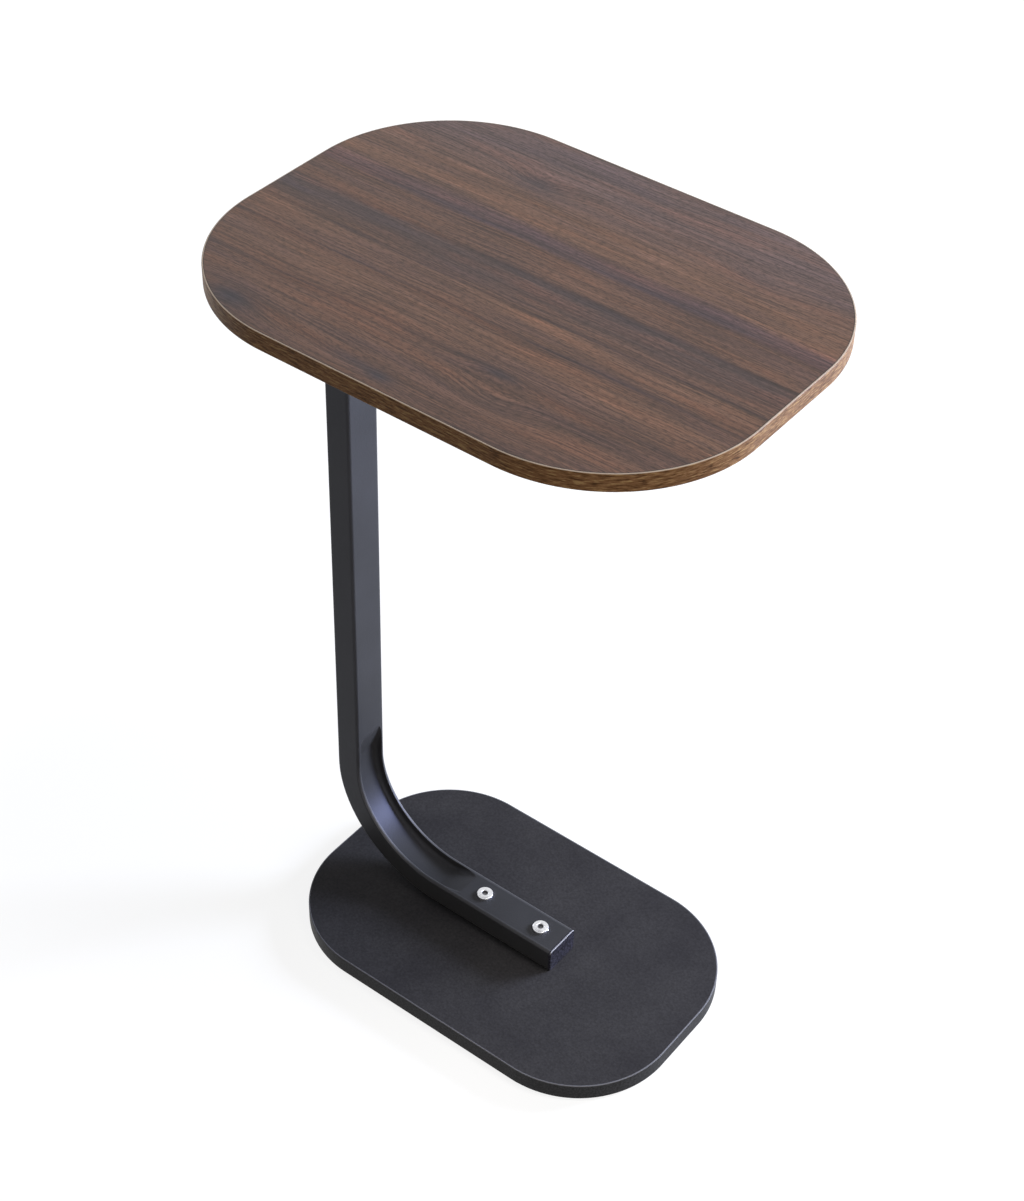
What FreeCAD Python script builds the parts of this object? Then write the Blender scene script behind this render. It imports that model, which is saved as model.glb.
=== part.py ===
import FreeCAD, Part
import math
import os

# C shaped side table: a bent steel tube carries a small top over a flat base.
# Millimetres, +Z up. The origin is on the floor, under the middle of the top.
# +X points to the open side of the C, so the post stands at the -X end.

# Table top, a laminated board with rounded corners
top_length = 400.0
top_width = 300.0
top_corner_radius = 111.0
top_thickness = 13.2

# Base board under the foot leg, its rounded end in line with the back of the post
base_length = 334.0
base_width = 217.0
base_corner_radius = 83.5
base_thickness = 15.0

# Faces and edges of both boards
laminate_thickness = 0.6
band_thickness = 1.0
band_arris_radius = 0.8

# Bent tube: depth lies in the plane of the C, width lies along Y
tube_depth = 22.0
tube_width = 32.0
tube_wall = 1.5
tube_corner_radius = 2.5
tube_inner_corner_radius = 1.0
bend_inner_radius = 78.0
frame_height = 606.5
post_setback = 40.0
leg_straight_length = 118.0

# Channel that the bending die presses into the inner wall of each bend
channel_depth = 5.0
channel_ridge = 2.8
channel_floor_radius = 3.5
channel_run_past_bend = 8.0
channel_ramp_length = 15.0
channel_ramp_blend_radius = 20.0

# Plastic plugs in the two open tube ends
cap_head_thickness = 2.0
cap_arris_radius = 0.8
cap_stem_length = 14.0
cap_stem_wall = 1.6
cap_fin_count = 3
cap_fin_thickness = 1.2
cap_fin_height = 1.4
cap_fit_clearance = 0.1

# Bolts through leg and arm, screwed into threaded inserts
bolt_diameter = 5.8
bolt_point_chamfer = 0.8
bolt_end_gap = 1.5
bolt_head_diameter = 13.0
bolt_head_height = 3.5
bolt_head_edge_height = 1.2
socket_across_flats = 4.0
socket_depth = 2.2
bolt_past_bend = 40.0
bolt_clear_of_stem = 6.0
bolt_hole_clearance = 0.4
thread_clearance = 0.1
insert_diameter = 9.8
insert_barb_count = 3
insert_barb_height = 0.4
insert_fit_clearance = 0.05
insert_hole_relief = 0.5
board_behind_insert = 3.7

# Pads between base and floor
pad_diameter = 20.0
pad_thickness = 2.0
pad_arris_radius = 0.5
pad_inset_x = 48.0
pad_inset_y = 42.0

# Levels and places that follow from the sizes above
base_bottom_z = pad_thickness
base_top_z = base_bottom_z + base_thickness
frame_top_z = base_top_z + frame_height
post_x = -top_length / 2 + post_setback
base_centre_x = post_x + base_length / 2
bend_end_x = post_x + tube_depth + bend_inner_radius
leg_end_x = bend_end_x + leg_straight_length
tube_end_x = leg_end_x - cap_head_thickness
stem_end_x = tube_end_x - cap_stem_length
bolt_places = {"inner": bend_end_x + bolt_past_bend, "outer": stem_end_x - bolt_clear_of_stem}
cavity_depth = tube_depth - 2 * tube_wall
cavity_width = tube_width - 2 * tube_wall
insert_hole_depth = min(top_thickness, base_thickness) - board_behind_insert
insert_length = insert_hole_depth - insert_hole_relief
bolt_length = tube_depth + insert_hole_depth - bolt_end_gap

UP = FreeCAD.Vector(0, 0, 1)
ACROSS = FreeCAD.Vector(0, 1, 0)
ALONG = FreeCAD.Vector(1, 0, 0)
ORIGIN = FreeCAD.Vector(0, 0, 0)


def vec(x, y, z):
    return FreeCAD.Vector(x, y, z)


def rounded_outline(length, width, radius):
    """Closed wire of a rectangle with round corners, centred in the XY plane."""
    largest_share = 0.98
    corner = min(radius, largest_share * length / 2, largest_share * width / 2)
    half_x = length / 2 - corner
    half_y = width / 2 - corner
    arcs = []
    for quarter, (side_x, side_y) in enumerate([(1, 1), (-1, 1), (-1, -1), (1, -1)]):
        circle = Part.Circle(vec(side_x * half_x, side_y * half_y, 0), UP, corner)
        start = quarter * math.pi / 2
        arcs.append(Part.Arc(circle, start, start + math.pi / 2))
    edges = []
    for arc, following in zip(arcs, arcs[1:] + arcs[:1]):
        edges.append(arc.toShape())
        edges.append(Part.LineSegment(arc.EndPoint, following.StartPoint).toShape())
    return Part.Wire(edges)


def rounded_run(points, radii):
    """Edges of straight runs through the points, with a tangent arc at each inner point."""
    edges = []
    start = points[0]
    for before, corner, after, radius in zip(points, points[1:], points[2:], radii):
        back = (before - corner).normalize()
        ahead = (after - corner).normalize()
        half_angle = back.getAngle(ahead) / 2
        inward = (back + ahead).normalize()
        arc_start = corner + back * (radius / math.tan(half_angle))
        arc_end = corner + ahead * (radius / math.tan(half_angle))
        arc_middle = corner + inward * (radius / math.sin(half_angle) - radius)
        edges.append(Part.LineSegment(start, arc_start).toShape())
        edges.append(Part.Arc(arc_start, arc_middle, arc_end).toShape())
        start = arc_end
    edges.append(Part.LineSegment(start, points[-1]).toShape())
    return edges


def plate(length, width, radius, thickness, centre_x, bottom_z):
    """Flat plate with round corners, lying in the XY plane."""
    solid = Part.Face(rounded_outline(length, width, radius)).extrude(UP * thickness)
    solid.translate(vec(centre_x, 0, bottom_z))
    return solid


def bar(depth, width, radius, start_x, end_x, middle_z):
    """Bar of rounded rectangular section along X, its depth standing along Z."""
    outline = rounded_outline(depth, width, radius)
    outline.rotate(ORIGIN, ACROSS, -90)
    solid = Part.Face(outline).extrude(ALONG * (end_x - start_x))
    solid.translate(vec(start_x, 0, middle_z))
    return solid


def upright_cylinder(radius, x, low_z, high_z):
    return Part.makeCylinder(radius, high_z - low_z, vec(x, 0, low_z), UP)


def turned(points):
    """Solid turned about the Z axis from a profile of (radius, height) points."""
    profile = Part.makePolygon([vec(radius, 0, height) for radius, height in points + points[:1]])
    return Part.Face(profile).revolve(ORIGIN, UP, 360)


def lowest_face(solid):
    return min(solid.Faces, key=lambda face: face.CenterOfMass.z)


def highest_face(solid):
    return max(solid.Faces, key=lambda face: face.CenterOfMass.z)


# Bent tube with a pressed channel in each bend


def swept_tube(depth, width, corner_radius, end_x):
    """Solid of one section carried round the C along the tube's centre line."""
    leg_z = base_top_z + tube_depth / 2
    arm_z = frame_top_z - tube_depth / 2
    post_middle_x = post_x + tube_depth / 2
    bend_radius = bend_inner_radius + tube_depth / 2
    points = [
        vec(end_x, 0, leg_z),
        vec(post_middle_x, 0, leg_z),
        vec(post_middle_x, 0, arm_z),
        vec(end_x, 0, arm_z),
    ]
    path = Part.Wire(rounded_run(points, [bend_radius, bend_radius]))
    section = rounded_outline(depth, width, corner_radius)
    section.rotate(ORIGIN, ACROSS, -90)
    section.translate(points[0])
    return path.makePipeShell([section], True, False)


def channel_block(half_width, grow):
    """Space of the channel in the lower bend, grown outwards where the wall lies behind it."""
    bend_centre_z = base_top_z + tube_depth + bend_inner_radius
    floor_radius = bend_inner_radius + channel_depth + grow
    free_radius = bend_inner_radius - channel_depth
    steepness = channel_ramp_length / channel_depth
    ramp_foot = channel_run_past_bend + grow * (math.hypot(1, steepness) - steepness)
    ramp_head = ramp_foot + steepness * (floor_radius - free_radius)
    points = [
        vec(bend_end_x - free_radius, -half_width, bend_centre_z + ramp_head),
        vec(bend_end_x - floor_radius, -half_width, bend_centre_z + ramp_foot),
        vec(bend_end_x - floor_radius, -half_width, bend_centre_z - floor_radius),
        vec(bend_end_x + ramp_foot, -half_width, bend_centre_z - floor_radius),
        vec(bend_end_x + ramp_head, -half_width, bend_centre_z - free_radius),
    ]
    blend = channel_ramp_blend_radius + grow
    floor_run = rounded_run(points, [blend, floor_radius, blend])
    closing = Part.LineSegment(points[-1], points[0]).toShape()
    return Part.Face(Part.Wire(floor_run + [closing])).extrude(ACROSS * 2 * half_width)


def pressed_channel():
    """Channel with round corners between its floor and its two sides."""
    half_width = tube_width / 2 - channel_ridge
    block = channel_block(half_width, 0)
    side_edges = []
    for edge in block.Edges:
        if abs(edge.firstVertex().Y - edge.lastVertex().Y) < half_width:
            side_edges.append(edge)
    return block.makeFillet(channel_floor_radius, side_edges)


def both_bends(lower):
    """The lower bend's shape and its mirror image in the upper bend."""
    middle = vec(0, 0, (base_top_z + frame_top_z) / 2)
    return [lower, lower.mirror(middle, UP)]


def bolt_hole(x, low_z):
    return upright_cylinder(bolt_diameter / 2 + bolt_hole_clearance, x, low_z, low_z + tube_depth)


def c_frame_tube():
    outer = swept_tube(tube_depth, tube_width, tube_corner_radius, tube_end_x)
    outer = outer.cut(both_bends(pressed_channel()))
    cavity = swept_tube(cavity_depth, cavity_width, tube_inner_corner_radius, leg_end_x)
    cavity = cavity.cut(both_bends(channel_block(tube_width / 2, tube_wall)))
    holes = []
    for x in bolt_places.values():
        holes.append(bolt_hole(x, base_top_z))
        holes.append(bolt_hole(x, frame_top_z - tube_depth))
    return outer.cut([cavity] + holes)


# Plugs that close the tube ends


def end_cap(middle_z):
    """Plug with a head the size of the tube and a finned hollow stem inside it."""
    head = bar(tube_depth, tube_width, tube_corner_radius, tube_end_x, leg_end_x, middle_z)
    outer_face = max(head.Faces, key=lambda face: face.CenterOfMass.x)
    head = head.makeFillet(min(cap_arris_radius, cap_head_thickness / 2), outer_face.Edges)
    fin_depth = cavity_depth - 2 * cap_fit_clearance
    fin_width = cavity_width - 2 * cap_fit_clearance
    stem_depth = fin_depth - 2 * cap_fin_height
    stem_width = fin_width - 2 * cap_fin_height
    stem = bar(stem_depth, stem_width, tube_inner_corner_radius, stem_end_x, tube_end_x, middle_z)
    fins = []
    fin_pitch = cap_stem_length / cap_fin_count
    for number in range(cap_fin_count):
        fin_x = stem_end_x + number * fin_pitch
        fin_end_x = fin_x + cap_fin_thickness
        fins.append(bar(fin_depth, fin_width, tube_inner_corner_radius, fin_x, fin_end_x, middle_z))
    hollow_depth = stem_depth - 2 * cap_stem_wall
    hollow_width = stem_width - 2 * cap_stem_wall
    hollow = bar(hollow_depth, hollow_width, tube_inner_corner_radius, stem_end_x, tube_end_x, middle_z)
    return head.fuse([stem] + fins).removeSplitter().cut(hollow)


# Boards: core, sheet on each face, band round the edge


def board_pieces(name, length, width, radius, thickness, centre_x, bottom_z):
    """The four pieces of one board, keyed by node name."""
    inner = (length - 2 * band_thickness, width - 2 * band_thickness, radius - band_thickness)
    top_z = bottom_z + thickness
    core_thickness = thickness - 2 * laminate_thickness
    block = plate(length, width, radius, thickness, centre_x, bottom_z)
    arrises = lowest_face(block).Edges + highest_face(block).Edges
    block = block.makeFillet(min(band_arris_radius, band_thickness), arrises)
    return {
        name + "_core_board": plate(*inner, core_thickness, centre_x, bottom_z + laminate_thickness),
        name + "_face_laminate": plate(*inner, laminate_thickness, centre_x, top_z - laminate_thickness),
        name + "_backing_sheet": plate(*inner, laminate_thickness, centre_x, bottom_z),
        name + "_edge_band": block.cut(plate(*inner, thickness, centre_x, bottom_z)),
    }


def drilled(solid, low_z, high_z):
    """The solid with a hole for each insert between two heights."""
    radius = insert_diameter / 2 + insert_fit_clearance
    return solid.cut([upright_cylinder(radius, x, low_z, high_z) for x in bolt_places.values()])


# Bolts and threaded inserts


def bolt():
    """Domed hex-socket bolt, its head seated at the origin and its shank pointing down."""
    shank_radius = bolt_diameter / 2
    shank = turned([
        (0, 0),
        (shank_radius, 0),
        (shank_radius, -bolt_length + bolt_point_chamfer),
        (shank_radius - bolt_point_chamfer, -bolt_length),
        (0, -bolt_length),
    ])
    head_radius = bolt_head_diameter / 2
    dome_rise = bolt_head_height - bolt_head_edge_height
    dome_radius = (head_radius ** 2 + dome_rise ** 2) / (2 * dome_rise)
    dome = Part.makeSphere(dome_radius, vec(0, 0, bolt_head_height - dome_radius))
    head = upright_cylinder(head_radius, 0, 0, bolt_head_height).common(dome)
    flat_count = 6
    corner_radius = socket_across_flats / 2 / math.cos(math.pi / flat_count)
    corners = []
    for number in range(flat_count + 1):
        angle = 2 * math.pi * number / flat_count
        corner = vec(corner_radius * math.cos(angle), corner_radius * math.sin(angle), bolt_head_height)
        corners.append(corner)
    socket = Part.Face(Part.makePolygon(corners)).extrude(UP * -socket_depth)
    return head.fuse(shank).removeSplitter().cut(socket)


def insert():
    """Barbed sleeve, its mouth at the origin and its body pointing down."""
    outer_radius = insert_diameter / 2
    bore_radius = bolt_diameter / 2 + thread_clearance
    barb_length = insert_length / insert_barb_count
    points = [(bore_radius, -insert_length), (bore_radius, 0)]
    for number in range(insert_barb_count):
        points.append((outer_radius, -number * barb_length))
        points.append((outer_radius - insert_barb_height, -(number + 1) * barb_length))
    return turned(points)


def set_in_place(solid, x, z, pointing_up):
    """A fastener at a bolt place, turned over where it goes in from below."""
    if pointing_up:
        solid.rotate(ORIGIN, ALONG, 180)
    solid.translate(vec(x, 0, z))
    return solid


# Pads under the base


def foot_pad(x, y):
    pad = Part.makeCylinder(pad_diameter / 2, pad_thickness, vec(x, y, 0), UP)
    return pad.makeFillet(min(pad_arris_radius, pad_thickness / 2), lowest_face(pad).Edges)


nodes = {"c_frame_tube": c_frame_tube()}
nodes["lower_end_cap"] = end_cap(base_top_z + tube_depth / 2)
nodes["upper_end_cap"] = end_cap(frame_top_z - tube_depth / 2)

top_sizes = (top_length, top_width, top_corner_radius, top_thickness)
nodes.update(board_pieces("top", *top_sizes, 0, frame_top_z))
for node in ("top_core_board", "top_backing_sheet"):
    nodes[node] = drilled(nodes[node], frame_top_z, frame_top_z + insert_hole_depth)

base_sizes = (base_length, base_width, base_corner_radius, base_thickness)
nodes.update(board_pieces("base", *base_sizes, base_centre_x, base_bottom_z))
for node in ("base_core_board", "base_face_laminate"):
    nodes[node] = drilled(nodes[node], base_top_z - insert_hole_depth, base_top_z)

for place, bolt_x in bolt_places.items():
    nodes["base_bolt_" + place] = set_in_place(bolt(), bolt_x, base_top_z + tube_depth, False)
    nodes["top_bolt_" + place] = set_in_place(bolt(), bolt_x, frame_top_z - tube_depth, True)
    nodes["base_insert_" + place] = set_in_place(insert(), bolt_x, base_top_z, False)
    nodes["top_insert_" + place] = set_in_place(insert(), bolt_x, frame_top_z, True)

pad_reach_x = base_length / 2 - pad_inset_x
pad_reach_y = base_width / 2 - pad_inset_y
for number, (side_x, side_y) in enumerate([(-1, -1), (1, -1), (1, 1), (-1, 1)], start=1):
    pad_x = base_centre_x + side_x * pad_reach_x
    nodes["foot_pad_" + str(number)] = foot_pad(pad_x, side_y * pad_reach_y)

os.makedirs("parts", exist_ok=True)
for node, solid in nodes.items():
    solid.exportStep("parts/" + node + ".step")
    print(node, len(solid.Solids), solid.isValid(), round(solid.Volume, 1))
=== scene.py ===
import math

import bmesh
import bpy
from mathutils import Matrix, Vector


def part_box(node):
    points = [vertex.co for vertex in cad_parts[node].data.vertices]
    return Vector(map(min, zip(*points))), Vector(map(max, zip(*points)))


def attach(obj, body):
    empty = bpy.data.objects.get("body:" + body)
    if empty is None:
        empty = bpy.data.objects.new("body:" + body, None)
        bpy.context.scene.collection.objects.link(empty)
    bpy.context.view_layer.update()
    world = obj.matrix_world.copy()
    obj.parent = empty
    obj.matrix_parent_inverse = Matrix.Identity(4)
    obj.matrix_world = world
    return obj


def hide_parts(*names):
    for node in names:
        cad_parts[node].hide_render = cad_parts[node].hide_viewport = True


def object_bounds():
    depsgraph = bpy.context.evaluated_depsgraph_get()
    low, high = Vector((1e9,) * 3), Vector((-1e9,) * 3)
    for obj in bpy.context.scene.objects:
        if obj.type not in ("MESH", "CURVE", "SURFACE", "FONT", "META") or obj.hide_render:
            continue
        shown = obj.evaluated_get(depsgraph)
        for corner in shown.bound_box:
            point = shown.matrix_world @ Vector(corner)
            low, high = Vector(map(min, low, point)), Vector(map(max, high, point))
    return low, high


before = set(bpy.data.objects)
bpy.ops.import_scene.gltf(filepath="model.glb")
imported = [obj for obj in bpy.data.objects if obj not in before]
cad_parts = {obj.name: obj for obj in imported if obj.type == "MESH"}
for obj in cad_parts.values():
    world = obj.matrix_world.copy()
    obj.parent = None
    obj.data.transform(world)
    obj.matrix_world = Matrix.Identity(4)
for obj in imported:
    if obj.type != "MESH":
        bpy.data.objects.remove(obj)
cad_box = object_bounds()

# Base core: a panel of medium density fibreboard under the whole C, routed to its rounded
# outline and drilled from above for two threaded inserts. Sheets and a band close it in.
MM = 0.001


def linear(hex_colour):
    """An sRGB hex colour as linear red, green, blue and alpha."""
    shares = [int(hex_colour[place:place + 2], 16) / 255 for place in (1, 3, 5)]
    return [s / 12.92 if s <= 0.04045 else ((s + 0.055) / 1.055) ** 2.4 for s in shares] + [1.0]


def fill(owner, node, inputs):
    """Fill a node's inputs with values, or with links from other nodes."""
    for name, value in inputs.items():
        if isinstance(value, bpy.types.NodeSocket):
            owner.node_tree.links.new(value, node.inputs[name])
        else:
            node.inputs[name].default_value = value


def add_node(owner, kind, settings=None, inputs=None, stops=None):
    """Add one shader node, set it up, and fill its inputs and its colour stops."""
    node = owner.node_tree.nodes.new("ShaderNode" + kind)
    for name, value in (settings or {}).items():
        setattr(node, name, value)
    fill(owner, node, inputs or {})
    if stops:
        ramp = node.color_ramp.elements
        while len(ramp) < len(stops):
            ramp.new(1.0)
        for element, (place, hex_colour) in zip(ramp, stops):
            element.position = place
            element.color = linear(hex_colour)
    return node


def begin_finish(name):
    """A new material, its shader, and the point on the piece in millimetres."""
    material = bpy.data.materials.new(name)
    material.use_nodes = True
    shader = material.node_tree.nodes["Principled BSDF"]
    place = add_node(material, "TexCoord")
    point = add_node(material, "VectorMath", {"operation": "SCALE"}, {
        0: place.outputs["Object"], "Scale": 1 / MM})
    return material, shader, point.outputs[0]


# Raw fibreboard: pressed wood fibre, so a matt tan felt of short fibres with darker flecks.
fibre_length = 2.5
felt_relief = 0.05 * MM
fibreboard, shader, point = begin_finish("raw medium density fibreboard")
fibres = add_node(fibreboard, "TexNoise", inputs={
    "Vector": point, "Scale": 1 / fibre_length, "Detail": 5.0})
tan = add_node(fibreboard, "ValToRGB", inputs={"Fac": fibres.outputs["Fac"]}, stops=[
    (0.3, "#7d6144"), (0.5, "#a5855f"), (0.7, "#bd9d76")])
felt = add_node(fibreboard, "Bump", inputs={
    "Height": fibres.outputs["Fac"], "Distance": felt_relief})
fill(fibreboard, shader, {
    "Base Color": tan.outputs["Color"], "Normal": felt.outputs["Normal"], "Roughness": 0.85})
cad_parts["base_core_board"].material_slots[0].material = fibreboard

# Base backing sheet: dark impregnated paper pressed on the underside, so that the board
# stays flat. It is routed with the board, so it has the same rounded outline.
base_corner_radius = 83.5 * MM
corner_steps = 48

# Points closer than a hair lie in one place, and a turn past the sharp angle stays an edge.
hair = 0.01 * MM
sharp_angle = math.radians(40)


def choose(piece, kind, test):
    """In edit mode, select only the edges or faces that pass the test."""
    bpy.ops.mesh.select_mode(type=kind)
    bpy.ops.mesh.select_all(action="DESELECT")
    shape = bmesh.from_edit_mesh(piece.data)
    for element in {"EDGE": shape.edges, "FACE": shape.faces}[kind]:
        element.select_set(test(element))
    shape.select_flush_mode()
    bmesh.update_edit_mesh(piece.data)


def draw_out(x, y, z):
    """Extrude what is selected along a straight line."""
    bpy.ops.mesh.extrude_region_move(TRANSFORM_OT_translate={"value": (x, y, z)})


def face_outwards():
    """Close the seams of the piece in edit mode, and turn its faces outwards."""
    bpy.ops.mesh.select_all(action="SELECT")
    bpy.ops.mesh.remove_doubles(threshold=hair / 10)
    bpy.ops.mesh.normals_make_consistent(inside=False)


def rounded_board(name, node, corner_radius):
    """A plate with round corners that fills a node's box, left in edit mode."""
    low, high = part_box(node)
    bpy.ops.object.select_all(action="DESELECT")
    bpy.ops.mesh.primitive_plane_add(size=1)
    board = bpy.context.object
    board.name = name
    bpy.ops.object.mode_set(mode="EDIT")
    bpy.ops.transform.resize(value=(high.x - low.x, high.y - low.y, 1))
    bpy.ops.transform.translate(value=((low.x + high.x) / 2, (low.y + high.y) / 2, low.z))
    bpy.ops.mesh.bevel(offset=corner_radius, segments=corner_steps, affect="VERTICES")
    bpy.ops.mesh.select_all(action="SELECT")
    draw_out(0, 0, high.z - low.z)
    face_outwards()
    return board


def settle(piece, node, material):
    """Smooth the rounds, keep the flats flat, and put the piece in its node's place."""
    bpy.ops.object.select_all(action="DESELECT")
    piece.select_set(True)
    bpy.context.view_layer.objects.active = piece
    bpy.ops.object.shade_smooth_by_angle(angle=sharp_angle)
    flats = piece.modifiers.new("flats", "WEIGHTED_NORMAL")
    flats.keep_sharp = True
    bpy.ops.object.modifier_apply(modifier=flats.name)
    if not piece.data.materials:
        piece.data.materials.append(material)
    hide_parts(node)
    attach(piece, "root")


def band_thickness(board):
    """How far the band stands out past the sheets of a board."""
    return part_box(board + "_edge_band")[1].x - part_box(board + "_face_laminate")[1].x


base_sheet_radius = base_corner_radius - band_thickness("base")
base_back = rounded_board("base_back", "base_backing_sheet", base_sheet_radius)
bpy.ops.object.mode_set(mode="OBJECT")

# Backing paper: resin-filled kraft, matt and nearly black, with a faint cloudy fibre.
cloud_size = 30.0
paper_grain = 0.9
paper_relief = 0.02 * MM
backing_paper, shader, point = begin_finish("dark backing paper")
clouds = add_node(backing_paper, "TexNoise", inputs={
    "Vector": point, "Scale": 1 / cloud_size, "Detail": 3.0})
paper = add_node(backing_paper, "ValToRGB", inputs={"Fac": clouds.outputs["Fac"]}, stops=[
    (0.3, "#2b2826"), (0.7, "#393532")])
grain = add_node(backing_paper, "TexNoise", inputs={
    "Vector": point, "Scale": 1 / paper_grain, "Detail": 2.0})
tooth = add_node(backing_paper, "Bump", inputs={
    "Height": grain.outputs["Fac"], "Distance": paper_relief})
fill(backing_paper, shader, {
    "Base Color": paper.outputs["Color"], "Normal": tooth.outputs["Normal"], "Roughness": 0.8})
settle(base_back, "base_backing_sheet", backing_paper)

# Base face: a black laminate sheet pressed on the upper side of the core. The leg of the
# frame stands on it, and its bolts pass through two drilled holes.
insert_hole_radius = 4.95 * MM
bolt_places = ("inner", "outer")
round_sides = 48


def bolt_x(place):
    """Where a bolt stands along the leg, and along the arm above it."""
    low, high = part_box("base_bolt_" + place)
    return (low.x + high.x) / 2


def drill(piece, x, low_z, high_z, radius, sides):
    """Cut an upright hole through a piece, round or with few sides, at a bolt's place."""
    bpy.ops.object.select_all(action="DESELECT")
    bpy.ops.mesh.primitive_cylinder_add(vertices=sides, radius=radius, depth=high_z - low_z,
                                        location=(x, 0, (low_z + high_z) / 2))
    cutter = bpy.context.object
    hole = piece.modifiers.new("hole", "BOOLEAN")
    hole.object = cutter
    bpy.context.view_layer.objects.active = piece
    bpy.ops.object.modifier_apply(modifier=hole.name)
    bpy.data.objects.remove(cutter)


def drill_sheet(sheet, node):
    """Drill a sheet where the inserts of its two bolts go through it."""
    low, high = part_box(node)
    for place in bolt_places:
        drill(sheet, bolt_x(place), low.z - MM, high.z + MM, insert_hole_radius, round_sides)


base_face = rounded_board("base_face", "base_face_laminate", base_sheet_radius)
bpy.ops.object.mode_set(mode="OBJECT")
drill_sheet(base_face, "base_face_laminate")

# Black laminate: melamine pressed against a grained plate, so a satin charcoal with a fine
# pebble that breaks up the shine, and faint cloudy marks from handling. The pebble is drawn
# coarser than the real one, which would be too fine to show.
pebble = 1.8
pebble_relief = 0.06 * MM
handling = 45.0
black_laminate, shader, point = begin_finish("pebbled black laminate")
handled = add_node(black_laminate, "TexNoise", inputs={
    "Vector": point, "Scale": 1 / handling, "Detail": 4.0})
charcoal = add_node(black_laminate, "ValToRGB", inputs={"Fac": handled.outputs["Fac"]}, stops=[
    (0.3, "#2d2c2f"), (0.7, "#373638")])
pebbles = add_node(black_laminate, "TexNoise", inputs={
    "Vector": point, "Scale": 1 / pebble, "Detail": 3.0})
tips = add_node(black_laminate, "MapRange", inputs={
    "Value": pebbles.outputs["Fac"], "From Min": 0.3, "From Max": 0.7,
    "To Min": 0.8, "To Max": 1.2})
pebbled = add_node(black_laminate, "VectorMath", {"operation": "SCALE"}, {
    0: charcoal.outputs["Color"], "Scale": tips.outputs["Result"]})
shine = add_node(black_laminate, "MapRange", inputs={
    "Value": handled.outputs["Fac"], "To Min": 0.5, "To Max": 0.62})
relief = add_node(black_laminate, "Bump", inputs={
    "Height": pebbles.outputs["Fac"], "Distance": pebble_relief})
fill(black_laminate, shader, {
    "Base Color": pebbled.outputs[0], "Roughness": shine.outputs["Result"],
    "Normal": relief.outputs["Normal"], "Specular IOR Level": 0.1})
settle(base_face, "base_face_laminate", black_laminate)

# Base band: a thin black strip glued round the edge of the board, flush with both sheets. Both its
# edges are scraped round after gluing. The upper one is coloured pale, partly as the scraped body
# of the strip and partly as a painted highlight.
band_arris_radius = 0.6 * MM
arris_steps = 4

# A face lies square to an axis when its normal goes at least this far along it.
squarely = 0.999


def edge_band(name, node, corner_radius, thickness):
    """A hollow ring round a board, with rounded outer edges, left in object mode."""
    band = rounded_board(name, node, corner_radius)
    choose(band, "EDGE", lambda edge: abs(edge.verts[0].co.z - edge.verts[1].co.z) < hair)
    bpy.ops.mesh.bevel(offset=band_arris_radius, segments=arris_steps)
    choose(band, "FACE", lambda face: abs(face.normal.z) > squarely)
    bpy.ops.mesh.inset(thickness=thickness - band_arris_radius)
    bpy.ops.mesh.delete(type="FACE")
    choose(band, "EDGE", lambda edge: edge.is_boundary)
    bpy.ops.mesh.bridge_edge_loops()
    face_outwards()
    bpy.ops.object.mode_set(mode="OBJECT")
    return band


def pale_edge_and_highlight(material, point, node, depth, printed, pale_highlight):
    """The strip's printed colour, turned pale along its upper round edge: partly the scraped body,
    partly a painted highlight.
    """
    soft_border = 0.2
    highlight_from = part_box(node)[1].z / MM - depth
    height = add_node(material, "SeparateXYZ", inputs={"Vector": point})
    # Painted highlight, together with the scraped body: only the upper rounded edge turns paler.
    pale_and_lit = add_node(material, "MapRange", {"interpolation_type": "SMOOTHSTEP"}, {
        "Value": height.outputs["Z"], "From Min": highlight_from - soft_border,
        "From Max": highlight_from + soft_border})
    return add_node(material, "MixRGB", inputs={
        "Fac": pale_and_lit.outputs["Result"], "Color1": printed, "Color2": linear(pale_highlight)})


base_band = edge_band("base_band", "base_edge_band", base_corner_radius, band_thickness("base"))

# Black edge strip: extruded ABS with a matt stipple, drawn coarser than the real one so that it
# shows. Along its upper rounded edge the strip is paler than the printed side, partly from the
# scraper and partly as a painted highlight.
stipple = 1.6
stipple_relief = 0.05 * MM
highlight_depth = 0.5
black_edge, shader, point = begin_finish("black ABS edge strip")
dots = add_node(black_edge, "TexNoise", inputs={
    "Vector": point, "Scale": 1 / stipple, "Detail": 2.0})
matt_black = add_node(black_edge, "ValToRGB", inputs={"Fac": dots.outputs["Fac"]}, stops=[
    (0.35, "#1c1c1e"), (0.65, "#333336")])
strip_colour = pale_edge_and_highlight(black_edge, point, "base_edge_band", highlight_depth,
                      matt_black.outputs["Color"], "#6c6c71")
stippled = add_node(black_edge, "Bump", inputs={
    "Height": dots.outputs["Fac"], "Distance": stipple_relief})
fill(black_edge, shader, {
    "Base Color": strip_colour.outputs["Color"], "Normal": stippled.outputs["Normal"],
    "Roughness": 0.5, "Specular IOR Level": 0.1})
settle(base_band, "base_edge_band", black_edge)

# Foot pads: four black rubber discs glued under the base, which keep the board off the
# floor. Each has a rounded rim and a moulded groove that grips like a suction ring.
pad_sides = 64
pad_rim_radius = 0.5 * MM
pad_rim_steps = 3
groove_inset = 3.0 * MM
groove_width = 1.5 * MM
groove_depth = 0.6 * MM


def copy_piece(piece, name, offset):
    """A copy with its own mesh, moved by an offset."""
    bpy.ops.object.select_all(action="DESELECT")
    piece.select_set(True)
    bpy.context.view_layer.objects.active = piece
    bpy.ops.object.duplicate()
    twin = bpy.context.object
    twin.name = name
    bpy.ops.transform.translate(value=offset)
    bpy.ops.object.transform_apply(location=True, rotation=False, scale=False)
    return twin


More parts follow.
